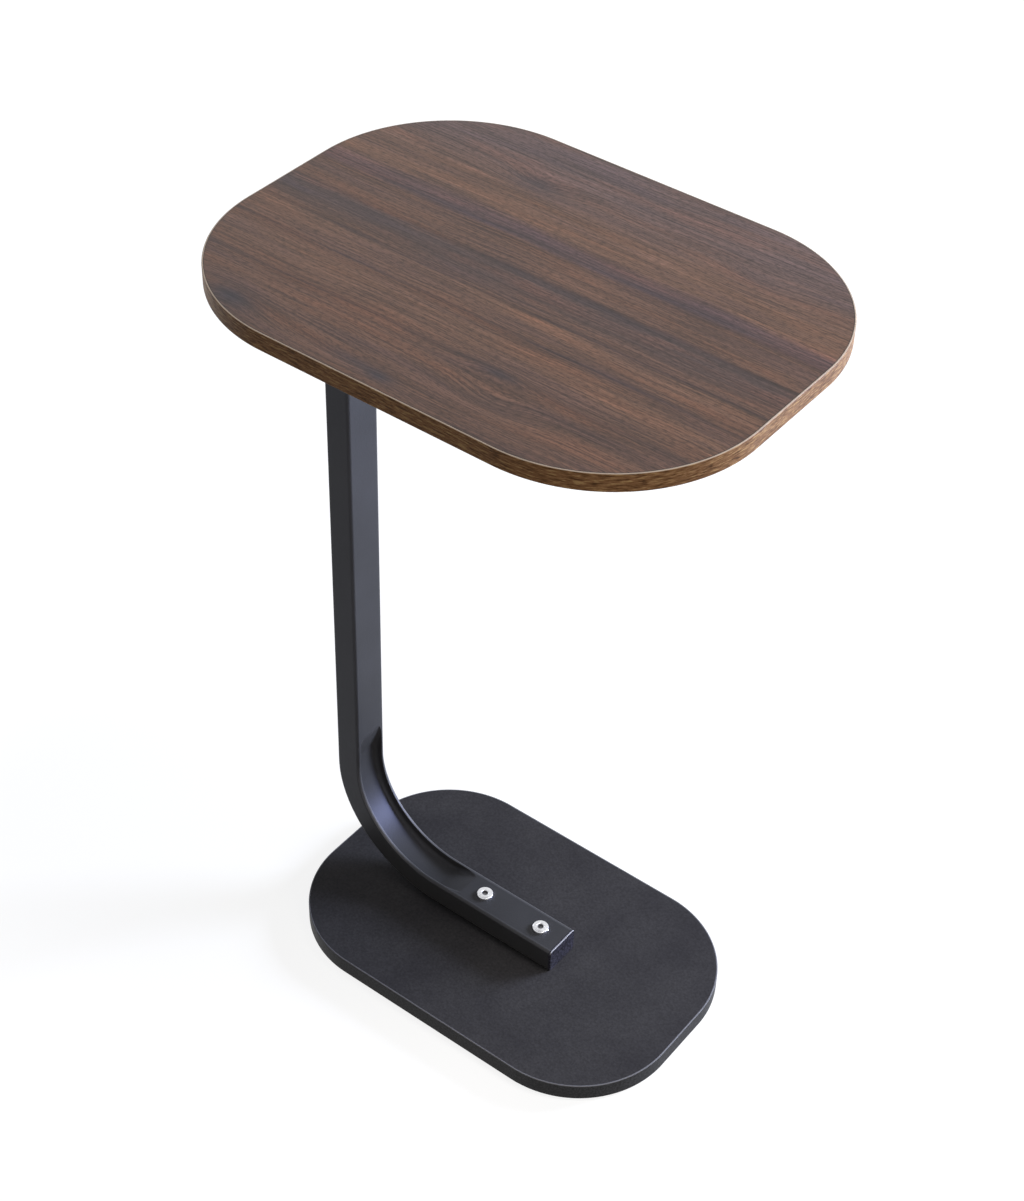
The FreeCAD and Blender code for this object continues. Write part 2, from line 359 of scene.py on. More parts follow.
pad_low, pad_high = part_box("foot_pad_1")
pad_middle = (pad_low + pad_high) / 2
pad_radius = (pad_high.x - pad_low.x) / 2
groove_radius = pad_radius - pad_rim_radius - groove_inset
bpy.ops.object.select_all(action="DESELECT")
bpy.ops.mesh.primitive_cylinder_add(vertices=pad_sides, radius=pad_radius,
                                    depth=pad_high.z - pad_low.z, location=pad_middle)
pad = bpy.context.object
pad.name = "pad_1"
bpy.ops.object.transform_apply(location=True, rotation=False, scale=False)
bpy.ops.object.mode_set(mode="EDIT")
choose(pad, "EDGE", lambda edge: max(v.co.z for v in edge.verts) < pad_low.z + hair)
bpy.ops.mesh.bevel(offset=pad_rim_radius, segments=pad_rim_steps)
choose(pad, "FACE", lambda face: face.normal.z < -squarely)
bpy.ops.mesh.inset(thickness=groove_inset)
bpy.ops.mesh.inset(thickness=groove_width)
choose(pad, "FACE", lambda face: face.normal.z < -squarely and len(face.verts) == 4
       and (face.calc_center_median() - pad_middle).xy.length < groove_radius)
draw_out(0, 0, groove_depth)
face_outwards()
bpy.ops.object.mode_set(mode="OBJECT")
pads = [pad]
for number in (2, 3, 4):
    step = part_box("foot_pad_%d" % number)[0] - pad_low
    pads.append(copy_piece(pad, "pad_%d" % number, step))

# Pad rubber: moulded black rubber, dull, with a fine sandblasted grain from the mould.
mould_grain = 0.7
mould_relief = 0.04 * MM
pad_rubber, shader, point = begin_finish("moulded black rubber")
sand = add_node(pad_rubber, "TexNoise", inputs={
    "Vector": point, "Scale": 1 / mould_grain, "Detail": 2.0})
dull = add_node(pad_rubber, "ValToRGB", inputs={"Fac": sand.outputs["Fac"]}, stops=[
    (0.3, "#1b1b1b"), (0.7, "#262626")])
grip = add_node(pad_rubber, "Bump", inputs={
    "Height": sand.outputs["Fac"], "Distance": mould_relief})
fill(pad_rubber, shader, {
    "Base Color": dull.outputs["Color"], "Normal": grip.outputs["Normal"], "Roughness": 0.75})
for number, piece in enumerate(pads, start=1):
    settle(piece, "foot_pad_%d" % number, pad_rubber)

# Threaded inserts: four barbed sleeves of die-cast zinc, driven into the two cores, so
# that the bolts can be tightened again and again. The boards hide them.
# Die-cast zinc: a dull warm grey metal with the faint orange-skin of the die.
cast_skin = 0.8
cast_relief = 0.02 * MM
insert_metal, shader, point = begin_finish("die-cast zinc")
skin = add_node(insert_metal, "TexNoise", inputs={
    "Vector": point, "Scale": 1 / cast_skin, "Detail": 3.0})
grey = add_node(insert_metal, "ValToRGB", inputs={"Fac": skin.outputs["Fac"]}, stops=[
    (0.3, "#8d8a83"), (0.7, "#aaa79f")])
cast = add_node(insert_metal, "Bump", inputs={
    "Height": skin.outputs["Fac"], "Distance": cast_relief})
fill(insert_metal, shader, {
    "Base Color": grey.outputs["Color"], "Normal": cast.outputs["Normal"],
    "Metallic": 1.0, "Roughness": 0.45})
for node in ("base_insert_inner", "base_insert_outer", "top_insert_inner", "top_insert_outer"):
    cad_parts[node].material_slots[0].material = insert_metal

# Frame: one rectangular steel tube bent twice to a C. The bending die presses the inner
# wall of each bend in as a channel between two narrow ridges, so that the wall can't buckle.
tube_depth = 22.0 * MM
tube_wall = 1.5 * MM
tube_corner_radius = 2.5 * MM
bore_corner_radius = 1.0 * MM
tube_corner_steps = 5
bend_inner_radius = 78.0 * MM
bend_steps = 60
bolt_hole_radius = 3.3 * MM

# The channel runs level a little past each end of the bend, then out on a ramp. The shares
# deal out the columns of the wall, from its middle to its corner, over floor, fillet and crest.
channel_depth = 6.5 * MM
channel_half_width = 12.8 * MM
channel_floor_radius = 3.5 * MM
channel_crest_radius = 0.6 * MM
channel_blend = 1.0 * MM
leg_level, leg_ramp = 0.5 * MM, 22.5 * MM
post_level, post_ramp = 8.0 * MM, 24.0 * MM
ramp_steps = 23
wall_columns = 40
floor_share, fillet_share, crest_share = 0.3, 0.4, 0.25

tube_low, tube_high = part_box("c_frame_tube")
leg_middle_z = tube_low.z + tube_depth / 2
bend_end_x = tube_low.x + tube_depth + bend_inner_radius
bend_centre_z = tube_low.z + tube_depth + bend_inner_radius
frame_middle_z = (tube_low.z + tube_high.z) / 2
wall_half_width = tube_high.y - tube_corner_radius


def draw_rows(x, y, z):
    """Extrude what is selected in the even rows that a ramp of the channel needs."""
    for number in range(ramp_steps):
        draw_out(x / ramp_steps, y / ramp_steps, z / ramp_steps)


def turn_bend(centre_z):
    """Draw what is selected a quarter turn round the centre of a bend."""
    bpy.ops.mesh.spin(steps=bend_steps, angle=math.radians(90), axis=(0, -1, 0),
                      center=(bend_end_x, 0, centre_z))


def tube_skin(name, sunk, corner_radius):
    """The tube's outer skin, or its bore when sunk by the wall, drawn round the C."""
    bpy.ops.object.select_all(action="DESELECT")
    bpy.ops.mesh.primitive_plane_add(size=1, rotation=(0, math.radians(90), 0))
    tube = bpy.context.object
    tube.name = name
    bpy.ops.object.transform_apply(location=False, rotation=True, scale=False)
    bpy.ops.object.mode_set(mode="EDIT")
    bpy.ops.transform.resize(
        value=(1, tube_high.y - tube_low.y - 2 * sunk, tube_depth - 2 * sunk))
    bpy.ops.transform.translate(value=(tube_high.x, 0, leg_middle_z))
    bpy.ops.mesh.bevel(offset=corner_radius, segments=tube_corner_steps, affect="VERTICES")
    bpy.ops.mesh.select_all(action="SELECT")
    bpy.ops.mesh.delete(type="ONLY_FACE")
    choose(tube, "EDGE", lambda edge: edge.calc_length() > wall_half_width
           and min(v.co.z for v in edge.verts) > leg_middle_z)
    bpy.ops.mesh.subdivide(number_cuts=wall_columns - 1)
    bpy.ops.mesh.select_all(action="SELECT")
    leg_rows = leg_level + leg_ramp
    post_rows = post_level + post_ramp
    leg_run = tube_high.x - bend_end_x - leg_rows
    post_run = 2 * (frame_middle_z - bend_centre_z - post_rows)
    draw_out(-leg_run, 0, 0)
    draw_rows(-leg_rows, 0, 0)
    turn_bend(bend_centre_z)
    draw_rows(0, 0, post_rows)
    draw_out(0, 0, post_run)
    draw_rows(0, 0, post_rows)
    turn_bend(2 * frame_middle_z - bend_centre_z)
    draw_rows(leg_rows, 0, 0)
    draw_out(leg_run, 0, 0)
    face_outwards()
    bpy.ops.object.mode_set(mode="OBJECT")
    return tube


def channel_depth_at(past_bend, level_length, ramp_length):
    """Depth of the channel's floor, level past a bend's end and then up a ramp."""
    ramp = channel_depth * (1 - (past_bend - level_length) / ramp_length)
    blend = max(0.0, 1 - abs(channel_depth - ramp) / channel_blend)
    return max(0.0, min(channel_depth, ramp) - channel_blend * blend ** 2 / 4)


def channel_section(share, depth):
    """Place across the wall and depth below it, a share of the way from middle to corner."""
    flat = channel_half_width - channel_floor_radius
    rounds = channel_floor_radius + channel_crest_radius
    swing = math.acos(max(0.0, 1 - depth / rounds))
    if share <= floor_share:
        return flat * share / floor_share, depth
    share -= floor_share
    if share <= fillet_share:
        angle = swing * share / fillet_share
        return (flat + channel_floor_radius * math.sin(angle),
                depth - channel_floor_radius * (1 - math.cos(angle)))
    share -= fillet_share
    crest_edge = flat + rounds * math.sin(swing)
    if share <= crest_share:
        angle = swing * (1 - share / crest_share)
        return (crest_edge - channel_crest_radius * math.sin(angle),
                channel_crest_radius * (1 - math.cos(angle)))
    return wall_half_width, 0.0


def press_channels(tube, sunk, corner_radius):
    """Press the inner wall of both bends in, as the bending die does."""
    for vertex in tube.data.vertices:
        side = 1 if vertex.co.z < frame_middle_z else -1
        along = vertex.co.x - bend_end_x
        above = side * (vertex.co.z - frame_middle_z) + frame_middle_z - bend_centre_z
        if along > 0:
            depth, inwards = channel_depth_at(along, leg_level, leg_ramp), Vector((0, 0, -side))
            reach = -above
        elif above > 0:
            depth, inwards = channel_depth_at(above, post_level, post_ramp), Vector((-1, 0, 0))
            reach = -along
        else:
            reach = math.hypot(along, above)
            depth, inwards = channel_depth, Vector((along, 0, side * above)) / reach
        inside = reach - bend_inner_radius - sunk
        if depth == 0 or inside > corner_radius + hair:
            continue
        if sunk:
            vertex.co += inwards * depth
        elif inside < hair:
            across, depth = channel_section(abs(vertex.co.y) / wall_half_width, depth)
            vertex.co.y = math.copysign(across, vertex.co.y)
            vertex.co += inwards * depth


tube = tube_skin("frame_tube", 0, tube_corner_radius)
press_channels(tube, 0, tube_corner_radius)
bore = tube_skin("frame_bore", tube_wall, bore_corner_radius)
press_channels(bore, tube_wall, bore_corner_radius)
tube.select_set(True)
bpy.context.view_layer.objects.active = tube
bpy.ops.object.join()
bpy.ops.object.mode_set(mode="EDIT")
for lower in (True, False):
    choose(tube, "EDGE", lambda edge: edge.is_boundary
           and (edge.verts[0].co.z < frame_middle_z) == lower)
    bpy.ops.mesh.fill()
face_outwards()
bpy.ops.object.mode_set(mode="OBJECT")
for place in bolt_places:
    for low_z in (tube_low.z, tube_high.z - tube_depth):
        drill(tube, bolt_x(place), low_z - MM, low_z + tube_depth + MM,
              bolt_hole_radius, round_sides)

# Powder coat: polyester powder baked on the steel, a satin black with the faint orange peel of a
# baked coat and a fine grit. It is a little greyer where hands rubbed it. Along the ridges of the
# lower bend it is coloured paler as a painted highlight, most at the middle of the bend and least
# on the leg. The grit is drawn coarse, to show.
peel = 3.0
peel_relief = 0.03 * MM
grit = 1.4
grit_relief = 0.05 * MM
rubbed = 60.0
ridge_middle, ridge_spread = 14.35, 1.45
highlight_below, highlight_most_below = 125.0, 70.0
leg_top = (tube_low.z + tube_depth) / MM
leg_highlight_height = 15.0
least_highlight, most_highlight, leg_highlight_share = 0.05, 0.75, 0.18
powder_coat, shader, point = begin_finish("satin black powder coat")
rubs = add_node(powder_coat, "TexNoise", inputs={
    "Vector": point, "Scale": 1 / rubbed, "Detail": 4.0})
coat = add_node(powder_coat, "ValToRGB", inputs={"Fac": rubs.outputs["Fac"]}, stops=[
    (0.3, "#353536"), (0.7, "#3d3d3f")])
orange_peel = add_node(powder_coat, "TexNoise", inputs={
    "Vector": point, "Scale": 1 / peel, "Detail": 1.0})
waves = add_node(powder_coat, "Bump", inputs={
    "Height": orange_peel.outputs["Fac"], "Distance": peel_relief})
gritty = add_node(powder_coat, "TexNoise", inputs={
    "Vector": point, "Scale": 1 / grit, "Detail": 2.0})
coat_relief = add_node(powder_coat, "Bump", inputs={
    "Height": gritty.outputs["Fac"], "Distance": grit_relief,
    "Normal": waves.outputs["Normal"]})
satin = add_node(powder_coat, "MapRange", inputs={
    "Value": rubs.outputs["Fac"], "To Min": 0.4, "To Max": 0.48})
sides = add_node(powder_coat, "SeparateXYZ", inputs={"Vector": point})
off_middle = add_node(powder_coat, "Math", {"operation": "ABSOLUTE"}, {0: sides.outputs["Y"]})
# Painted highlight: the coat turns pale along the ridge crests, most at the middle of the lower
# bend and least on the leg.
on_ridge = add_node(powder_coat, "Math", {"operation": "COMPARE"}, {
    0: off_middle.outputs[0], 1: ridge_middle, 2: ridge_spread})
ridge_highlight = add_node(powder_coat, "MapRange", inputs={
    "Value": sides.outputs["Z"], "From Min": highlight_below, "From Max": highlight_most_below,
    "To Min": least_highlight, "To Max": most_highlight})
off_leg = add_node(powder_coat, "MapRange", inputs={
    "Value": sides.outputs["Z"], "From Min": leg_top, "From Max": leg_top + leg_highlight_height,
    "To Min": leg_highlight_share, "To Max": 1.0})
bend_highlight = add_node(powder_coat, "Math", {"operation": "MULTIPLY"}, {
    0: ridge_highlight.outputs["Result"], 1: off_leg.outputs["Result"]})
painted_highlight = add_node(powder_coat, "Math", {"operation": "MULTIPLY"}, {
    0: on_ridge.outputs[0], 1: bend_highlight.outputs[0]})
highlighted_coat = add_node(powder_coat, "MixRGB", inputs={
    "Fac": painted_highlight.outputs[0], "Color1": coat.outputs["Color"], "Color2": linear("#737377")})
fill(powder_coat, shader, {
    "Base Color": highlighted_coat.outputs["Color"], "Roughness": satin.outputs["Result"],
    "Normal": coat_relief.outputs["Normal"], "Specular IOR Level": 0.15,
    "Specular Tint": linear("#d0d8ff")})
settle(tube, "c_frame_tube", powder_coat)

# End caps: two black plugs pushed into the ends of the leg and the arm. Each has a head as
# large as the tube and a hollow stem, whose thin fins grip the bore.
cap_arris_radius = 0.8 * MM
stem_wall = 1.6 * MM
fin_count = 3
fin_thickness = 1.2 * MM
fin_height = 1.4 * MM
fin_clearance = 0.1 * MM

cap_low, cap_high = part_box("lower_end_cap")
head_size = cap_high - Vector((tube_high.x, cap_low.y, cap_low.z))
stem_length = tube_high.x - cap_low.x
both_sides = 2 * Vector((1, 1))
head_section = Vector((head_size.y, head_size.z))
fin_section = head_section - (tube_wall + fin_clearance) * both_sides
stem_section = fin_section - fin_height * both_sides
hollow_section = stem_section - stem_wall * both_sides


def step_section(old, new):
    """Make a step on a flat end, from one section's width and depth to another's."""
    draw_out(0, 0, 0)
    bpy.ops.transform.resize(value=(1, new.x / old.x, new.y / old.y))


bpy.ops.object.select_all(action="DESELECT")
bpy.ops.mesh.primitive_plane_add(size=1, rotation=(0, math.radians(90), 0))
cap = bpy.context.object
cap.name = "cap_lower"
bpy.ops.object.transform_apply(location=False, rotation=True, scale=False)
bpy.ops.object.mode_set(mode="EDIT")
bpy.ops.transform.resize(value=(1, head_size.y, head_size.z))
bpy.ops.transform.translate(value=(tube_high.x, 0, leg_middle_z))
bpy.ops.mesh.bevel(offset=tube_corner_radius, segments=tube_corner_steps, affect="VERTICES")
bpy.ops.mesh.select_all(action="SELECT")
draw_out(head_size.x, 0, 0)
face_outwards()
choose(cap, "EDGE", lambda edge: min(v.co.x for v in edge.verts) > cap_high.x - hair)
bpy.ops.mesh.bevel(offset=cap_arris_radius, segments=arris_steps)
choose(cap, "FACE", lambda face: face.normal.x < -squarely)
step_section(head_section, stem_section)
for number in range(fin_count):
    draw_out(fin_thickness - stem_length / fin_count, 0, 0)
    step_section(stem_section, fin_section)
    draw_out(-fin_thickness, 0, 0)
    step_section(fin_section, stem_section)
step_section(stem_section, hollow_section)
draw_out(stem_length, 0, 0)
face_outwards()
bpy.ops.object.mode_set(mode="OBJECT")
upper_cap = copy_piece(cap, "cap_upper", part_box("upper_end_cap")[0] - cap_low)

# Cap plastic: moulded polyethylene with a spark-eroded grain, duller than the coat and drawn
# coarse, to show. The round edge of its face is coloured pale where it faces up, as a painted
# highlight.
eroded_grain = 1.4
eroded_relief = 0.08 * MM
cap_plastic, shader, point = begin_finish("grained black polyethylene")
erosion = add_node(cap_plastic, "TexNoise", inputs={
    "Vector": point, "Scale": 1 / eroded_grain, "Detail": 2.0})
soot = add_node(cap_plastic, "ValToRGB", inputs={"Fac": erosion.outputs["Fac"]}, stops=[
    (0.4, "#0c0c10"), (0.6, "#363540")])
ends = add_node(cap_plastic, "SeparateXYZ", inputs={"Vector": point})
face_x = cap_high.x / MM
past_seam = add_node(cap_plastic, "MapRange", inputs={
    "Value": ends.outputs["X"], "From Min": face_x - 1.2, "From Max": face_x - 0.8})
flat_face = add_node(cap_plastic, "MapRange", inputs={
    "Value": ends.outputs["X"], "From Min": face_x - 0.3, "From Max": face_x - 0.05})
round_edge = add_node(cap_plastic, "Math", {"operation": "SUBTRACT"}, {
    0: past_seam.outputs["Result"], 1: flat_face.outputs["Result"]})
facing = add_node(cap_plastic, "TexCoord")
upwards = add_node(cap_plastic, "SeparateXYZ", inputs={"Vector": facing.outputs["Normal"]})
# Painted highlight: the round edge of the cap face turns pale where its normal points up.
edge_highlight = add_node(cap_plastic, "Math", {"operation": "MULTIPLY", "use_clamp": True}, {
    0: round_edge.outputs[0], 1: upwards.outputs["Z"]})
highlighted_plastic = add_node(cap_plastic, "MixRGB", inputs={
    "Fac": edge_highlight.outputs[0], "Color1": soot.outputs["Color"],
    "Color2": linear("#a4a4ab")})
mould_skin = add_node(cap_plastic, "Bump", inputs={
    "Height": erosion.outputs["Fac"], "Distance": eroded_relief})
fill(cap_plastic, shader, {
    "Base Color": highlighted_plastic.outputs["Color"], "Normal": mould_skin.outputs["Normal"],
    "Roughness": 0.5, "Specular IOR Level": 0.15})
settle(cap, "lower_end_cap", cap_plastic)
settle(upper_cap, "upper_end_cap", cap_plastic)

# Bolts: four zinc plated steel bolts with low domed heads and a hex socket in a shallow
# countersink, two down through the leg into the base and two up through the arm into the top.
head_height = 3.0 * MM
head_edge_height = 2.2 * MM
head_rim_radius = 0.5 * MM
head_rim_steps = 3
dome_steps = 8
countersink_radius = 3.1 * MM
countersink_depth = 0.5 * MM
socket_rim_radius = 2.5 * MM
socket_across_flats = 4.0 * MM
socket_depth = 2.2 * MM
shank_radius = 2.9 * MM
point_chamfer = 0.8 * MM

bolt_low, bolt_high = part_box("base_bolt_inner")
head_radius = (bolt_high.x - bolt_low.x) / 2
seat = Vector((bolt_x("inner"), 0, tube_low.z + tube_depth))
dome_top = seat.z + head_height
dome_rise = head_height - head_edge_height
dome_radius = (head_radius ** 2 + dome_rise ** 2) / (2 * dome_rise)
socket_radius = socket_across_flats / math.sqrt(3)


def dome_height(radius):
    """Height of the dome over the seat, at a distance from the bolt's axis."""
    return head_height - dome_radius + math.sqrt(dome_radius ** 2 - radius ** 2)


def draw_ring(rise, old_radius, new_radius):
    """Extrude the flat end of the head and bring it to a new radius."""
    draw_out(0, 0, rise)
    bpy.ops.transform.resize(value=(new_radius / old_radius, new_radius / old_radius, 1))


def on_rim(edge):
    """Whether an edge lies where the dome meets the side of the head."""
    return all(abs(v.co.z - seat.z - head_edge_height) < hair for v in edge.verts)


def in_socket(face):
    """Whether a face lies inside the socket."""
    middle = face.calc_center_median()
    return ((middle - seat).xy.length < socket_radius
            and seat.z < middle.z < dome_top - countersink_depth)


# Bright zinc: electroplated steel, nearly white, with a soft sheen and faint tool marks.
tool_marks = 1.2
tool_relief = 0.01 * MM
bright_zinc, shader, point = begin_finish("bright zinc plate")
plating = add_node(bright_zinc, "TexNoise", inputs={
    "Vector": point, "Scale": 1 / tool_marks, "Detail": 3.0})
zinc = add_node(bright_zinc, "ValToRGB", inputs={"Fac": plating.outputs["Fac"]}, stops=[
    (0.3, "#d0d1d5"), (0.7, "#e8e9ec")])
sheen = add_node(bright_zinc, "MapRange", inputs={
    "Value": plating.outputs["Fac"], "To Min": 0.22, "To Max": 0.38})
tooled = add_node(bright_zinc, "Bump", inputs={
    "Height": plating.outputs["Fac"], "Distance": tool_relief})
fill(bright_zinc, shader, {
    "Base Color": zinc.outputs["Color"], "Roughness": sheen.outputs["Result"],
    "Normal": tooled.outputs["Normal"], "Metallic": 1.0})

# Socket zinc: the inside of the broached socket is coloured dark grey as painted shade, and the
# steel there is duller than the plate.
# socket_shade, shader, point = begin_finish("dull steel, painted shade in the socket")
socket_shade, shader, point = begin_finish("oily steel in the socket")
socket_grain = add_node(socket_shade, "TexNoise", inputs={
    "Vector": point, "Scale": 1 / tool_marks, "Detail": 3.0})
painted_socket_dark = add_node(socket_shade, "ValToRGB", inputs={"Fac": socket_grain.outputs["Fac"]}, stops=[
    (0.3, "#5a5a5d"), (0.7, "#8a8a8e")])
fill(socket_shade, shader, {
    "Base Color": painted_socket_dark.outputs["Color"], "Metallic": 1.0, "Roughness": 0.55})

bpy.ops.object.select_all(action="DESELECT")
bpy.ops.mesh.primitive_circle_add(vertices=round_sides, radius=head_radius, fill_type="NGON",
                                  location=seat)
bolt = bpy.context.object
bolt.name = "bolt_base_inner"
bpy.ops.object.transform_apply(location=True, rotation=False, scale=False)
bpy.ops.object.mode_set(mode="EDIT")
draw_out(0, 0, head_edge_height)
ring_radius = head_radius
for number in range(1, dome_steps + 1):
    next_radius = head_radius + (countersink_radius - head_radius) * number / dome_steps
    draw_ring(dome_height(next_radius) - dome_height(ring_radius), ring_radius, next_radius)
    ring_radius = next_radius
draw_ring(-countersink_depth, ring_radius, socket_rim_radius)
choose(bolt, "EDGE", on_rim)
bpy.ops.mesh.bevel(offset=head_rim_radius, segments=head_rim_steps)
choose(bolt, "FACE", lambda face: face.calc_center_median().z < seat.z + hair)
bpy.ops.mesh.inset(thickness=head_radius - shank_radius)
draw_out(0, 0, bolt_low.z - seat.z)
choose(bolt, "EDGE", lambda edge: max(v.co.z for v in edge.verts) < bolt_low.z + hair)
bpy.ops.mesh.bevel(offset=point_chamfer, segments=1)
face_outwards()
bpy.ops.object.mode_set(mode="OBJECT")
drill(bolt, seat.x, dome_top - socket_depth, dome_top + MM, socket_radius, 6)
bpy.ops.object.mode_set(mode="EDIT")
bolt.data.materials.append(bright_zinc)
bolt.data.materials.append(socket_shade)
# The socket faces take the dark grey that paints the shade inside the socket.
bolt.active_material_index = 1
choose(bolt, "FACE", in_socket)
bpy.ops.object.material_slot_assign()
bpy.ops.object.mode_set(mode="OBJECT")
base_outer_bolt = copy_piece(bolt, "bolt_base_outer", (bolt_x("outer") - seat.x, 0, 0))
top_bolts = []
for place in bolt_places:
    twin = copy_piece(bolt, "bolt_top_" + place, (bolt_x(place) - seat.x, 0, 0))
    bpy.ops.transform.rotate(value=math.radians(180), orient_axis="X",
                             center_override=(0, 0, frame_middle_z))
    bpy.ops.object.transform_apply(location=True, rotation=True, scale=False)
    top_bolts.append(twin)

settle(bolt, "base_bolt_inner", bright_zinc)
settle(base_outer_bolt, "base_bolt_outer", bright_zinc)
for place, piece in zip(bolt_places, top_bolts):
    settle(piece, "top_bolt_" + place, bright_zinc)

# Top core and backing sheet: a fibreboard panel like the one in the base, with the same dark
# paper on its underside. The arm of the frame lies against the paper, and the bolts go up
# through two holes in it into the inserts of the core.
top_corner_radius = 111.0 * MM
top_sheet_radius = top_corner_radius - band_thickness("top")
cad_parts["top_core_board"].material_slots[0].material = fibreboard
top_back = rounded_board("top_back", "top_backing_sheet", top_sheet_radius)
bpy.ops.object.mode_set(mode="OBJECT")
drill_sheet(top_back, "top_backing_sheet")
settle(top_back, "top_backing_sheet", backing_paper)

# Top face: a sheet of walnut-look laminate pressed on the upper side of the core and trimmed
# flush with the band. It is whole, because the bolts end inside the board.
top_face = rounded_board("top_face", "top_face_laminate", top_sheet_radius)
bpy.ops.object.mode_set(mode="OBJECT")

# Walnut-look laminate: a printed paper under clear melamine. Long streaks run along the
# table, bent round a few small knots, over stripes from purple-grey heartwood to warm brown.
# The pores are drawn wider than real ones, which would be too fine to show.
board_span = 150.0
drift_length, drift_width, drift_rise = 200.0, 70.0, 5.0
walnut_grain = {"figure": (240.0, 9.0), "streak": (80.0, 1.6), "pore": (5.0, 1.0),
                "hue": (150.0, 16.0)}
hue_share = 0.32
pore_relief = 0.03 * MM
walnut_knots = [
    {"place": (-62, 97), "reach": (32, 12), "rise": 8, "dark": 0.65},
    {"place": (118, 93), "reach": (38, 14), "rise": 5, "dark": 0.35},
    {"place": (-130, -131), "reach": (36, 17), "rise": -7, "dark": 0.9},
    {"place": (-28, -135), "reach": (44, 8), "rise": 5, "dark": 0.6},
    {"place": (-5, -138), "reach": (20, 8), "rise": -2, "dark": 0.8},
    {"place": (62, -116), "reach": (34, 12), "rise": 9, "dark": 0.2},
    {"place": (49, -91), "reach": (24, 6), "rise": -5, "dark": 0.65},
]
walnut_tones = {"ash": "#5c4a48", "warm": "#6a4d3c", "brown": "#5f4436", "dun": "#553b2e",
                "mauve": "#553f41", "plum": "#3b2e35", "smoke": "#413332", "line": "#30201c"}
walnut_stripes = [
    (-150, "dun"), (-112, "brown"), (-94, "dun"), (-91, "line"), (-88, "brown"), (-64, "warm"),
    (-54, "dun"), (-51.5, "line"), (-49, "brown"), (-29, "warm"), (-26.5, "line"),
    (-25, "brown"), (-10, "smoke"), (3, "smoke"), (5, "line"), (8, "brown"), (26, "brown"),
    (32, "dun"), (37, "plum"), (46, "mauve"), (54, "warm"), (74, "warm"), (112, "ash"),
    (150, "ash"),
]
walnut, shader, point = begin_finish("walnut-look laminate")

# A ring is a line of growth: its place across the board drifts, and rises round the knots.
axes = add_node(walnut, "SeparateXYZ", inputs={"Vector": point})
slow = add_node(walnut, "VectorMath", {"operation": "MULTIPLY"}, {
    0: point, 1: (1 / drift_length, 1 / drift_width, 0)})
drift = add_node(walnut, "TexNoise", inputs={
    "Vector": slow.outputs[0], "Scale": 1.0, "Detail": 2.0})
centred = add_node(walnut, "Math", {"operation": "SUBTRACT"}, {0: drift.outputs["Fac"], 1: 0.5})
ring = add_node(walnut, "Math", {"operation": "MULTIPLY_ADD"}, {
    0: centred.outputs[0], 1: 2 * drift_rise, 2: axes.outputs["Y"]})
knot_hearts = []
for knot in walnut_knots:
    reach_x, reach_y = knot["reach"]
    offset = add_node(walnut, "VectorMath", {"operation": "SUBTRACT"}, {
        0: point, 1: (*knot["place"], 0)})
    spread = add_node(walnut, "VectorMath", {"operation": "MULTIPLY"}, {
        0: offset.outputs[0], 1: (1 / reach_x, 1 / reach_y, 0)})
    square = add_node(walnut, "VectorMath", {"operation": "DOT_PRODUCT"}, {
        0: spread.outputs[0], 1: spread.outputs[0]})
    falling = add_node(walnut, "Math", {"operation": "POWER"}, {
        0: math.exp(-1), 1: square.outputs["Value"]})
    ring = add_node(walnut, "Math", {"operation": "MULTIPLY_ADD"}, {
        0: falling.outputs[0], 1: knot["rise"], 2: ring.outputs[0]})
    heart = add_node(walnut, "Math", {"operation": "POWER"}, {0: falling.outputs[0], 1: 3.0})
    knot_hearts.append(add_node(walnut, "MapRange", inputs={
        "Value": heart.outputs[0], "To Max": knot["dark"]}))

# The stripes follow the rings, and so do four streaky grains, each with its length and width.
across = add_node(walnut, "MapRange", inputs={
    "Value": ring.outputs[0], "From Min": -board_span, "From Max": board_span})
stripes = add_node(walnut, "ValToRGB", inputs={"Fac": across.outputs["Result"]}, stops=[
    (0.5 + 0.5 * place / board_span, walnut_tones[tone]) for place, tone in walnut_stripes])
grains = {}
for name, (length, width) in walnut_grain.items():
    along = add_node(walnut, "Math", {"operation": "DIVIDE"}, {0: axes.outputs["X"], 1: length})
    side = add_node(walnut, "Math", {"operation": "DIVIDE"}, {0: ring.outputs[0], 1: width})
    grain_point = add_node(walnut, "CombineXYZ", inputs={
        "X": along.outputs[0], "Y": side.outputs[0]})
    grains[name] = add_node(walnut, "TexNoise", inputs={
        "Vector": grain_point.outputs[0], "Scale": 1.0, "Detail": 3.0,
        "Roughness": 0.6}).outputs["Fac"]
hues = add_node(walnut, "ValToRGB", inputs={"Fac": grains["hue"]}, stops=[
    (0.35, "#3f363e"), (0.5, "#53413a"), (0.65, "#76503f")])
print_colour = add_node(walnut, "MixRGB", inputs={
    "Fac": hue_share, "Color1": stripes.outputs["Color"],
    "Color2": hues.outputs["Color"]}).outputs["Color"]
for heart in knot_hearts:
    print_colour = add_node(walnut, "MixRGB", inputs={
        "Fac": heart.outputs["Result"], "Color1": print_colour,
        "Color2": linear("#2a2830")}).outputs["Color"]
pores = add_node(walnut, "MapRange", inputs={
    "Value": grains["pore"], "From Min": 0.38, "From Max": 0.54, "To Min": 0.58, "To Max": 1.14})
lines = add_node(walnut, "MapRange", inputs={
    "Value": grains["streak"], "From Min": 0.25, "From Max": 0.75, "To Min": 0.3, "To Max": 1.72})
swathes = add_node(walnut, "MapRange", inputs={
    "Value": grains["figure"], "From Min": 0.25, "From Max": 0.75, "To Min": 0.69, "To Max": 1.31})
for shade in (pores, lines, swathes):
    print_colour = add_node(walnut, "VectorMath", {"operation": "SCALE"}, {
        0: print_colour, "Scale": shade.outputs["Result"]}).outputs[0]

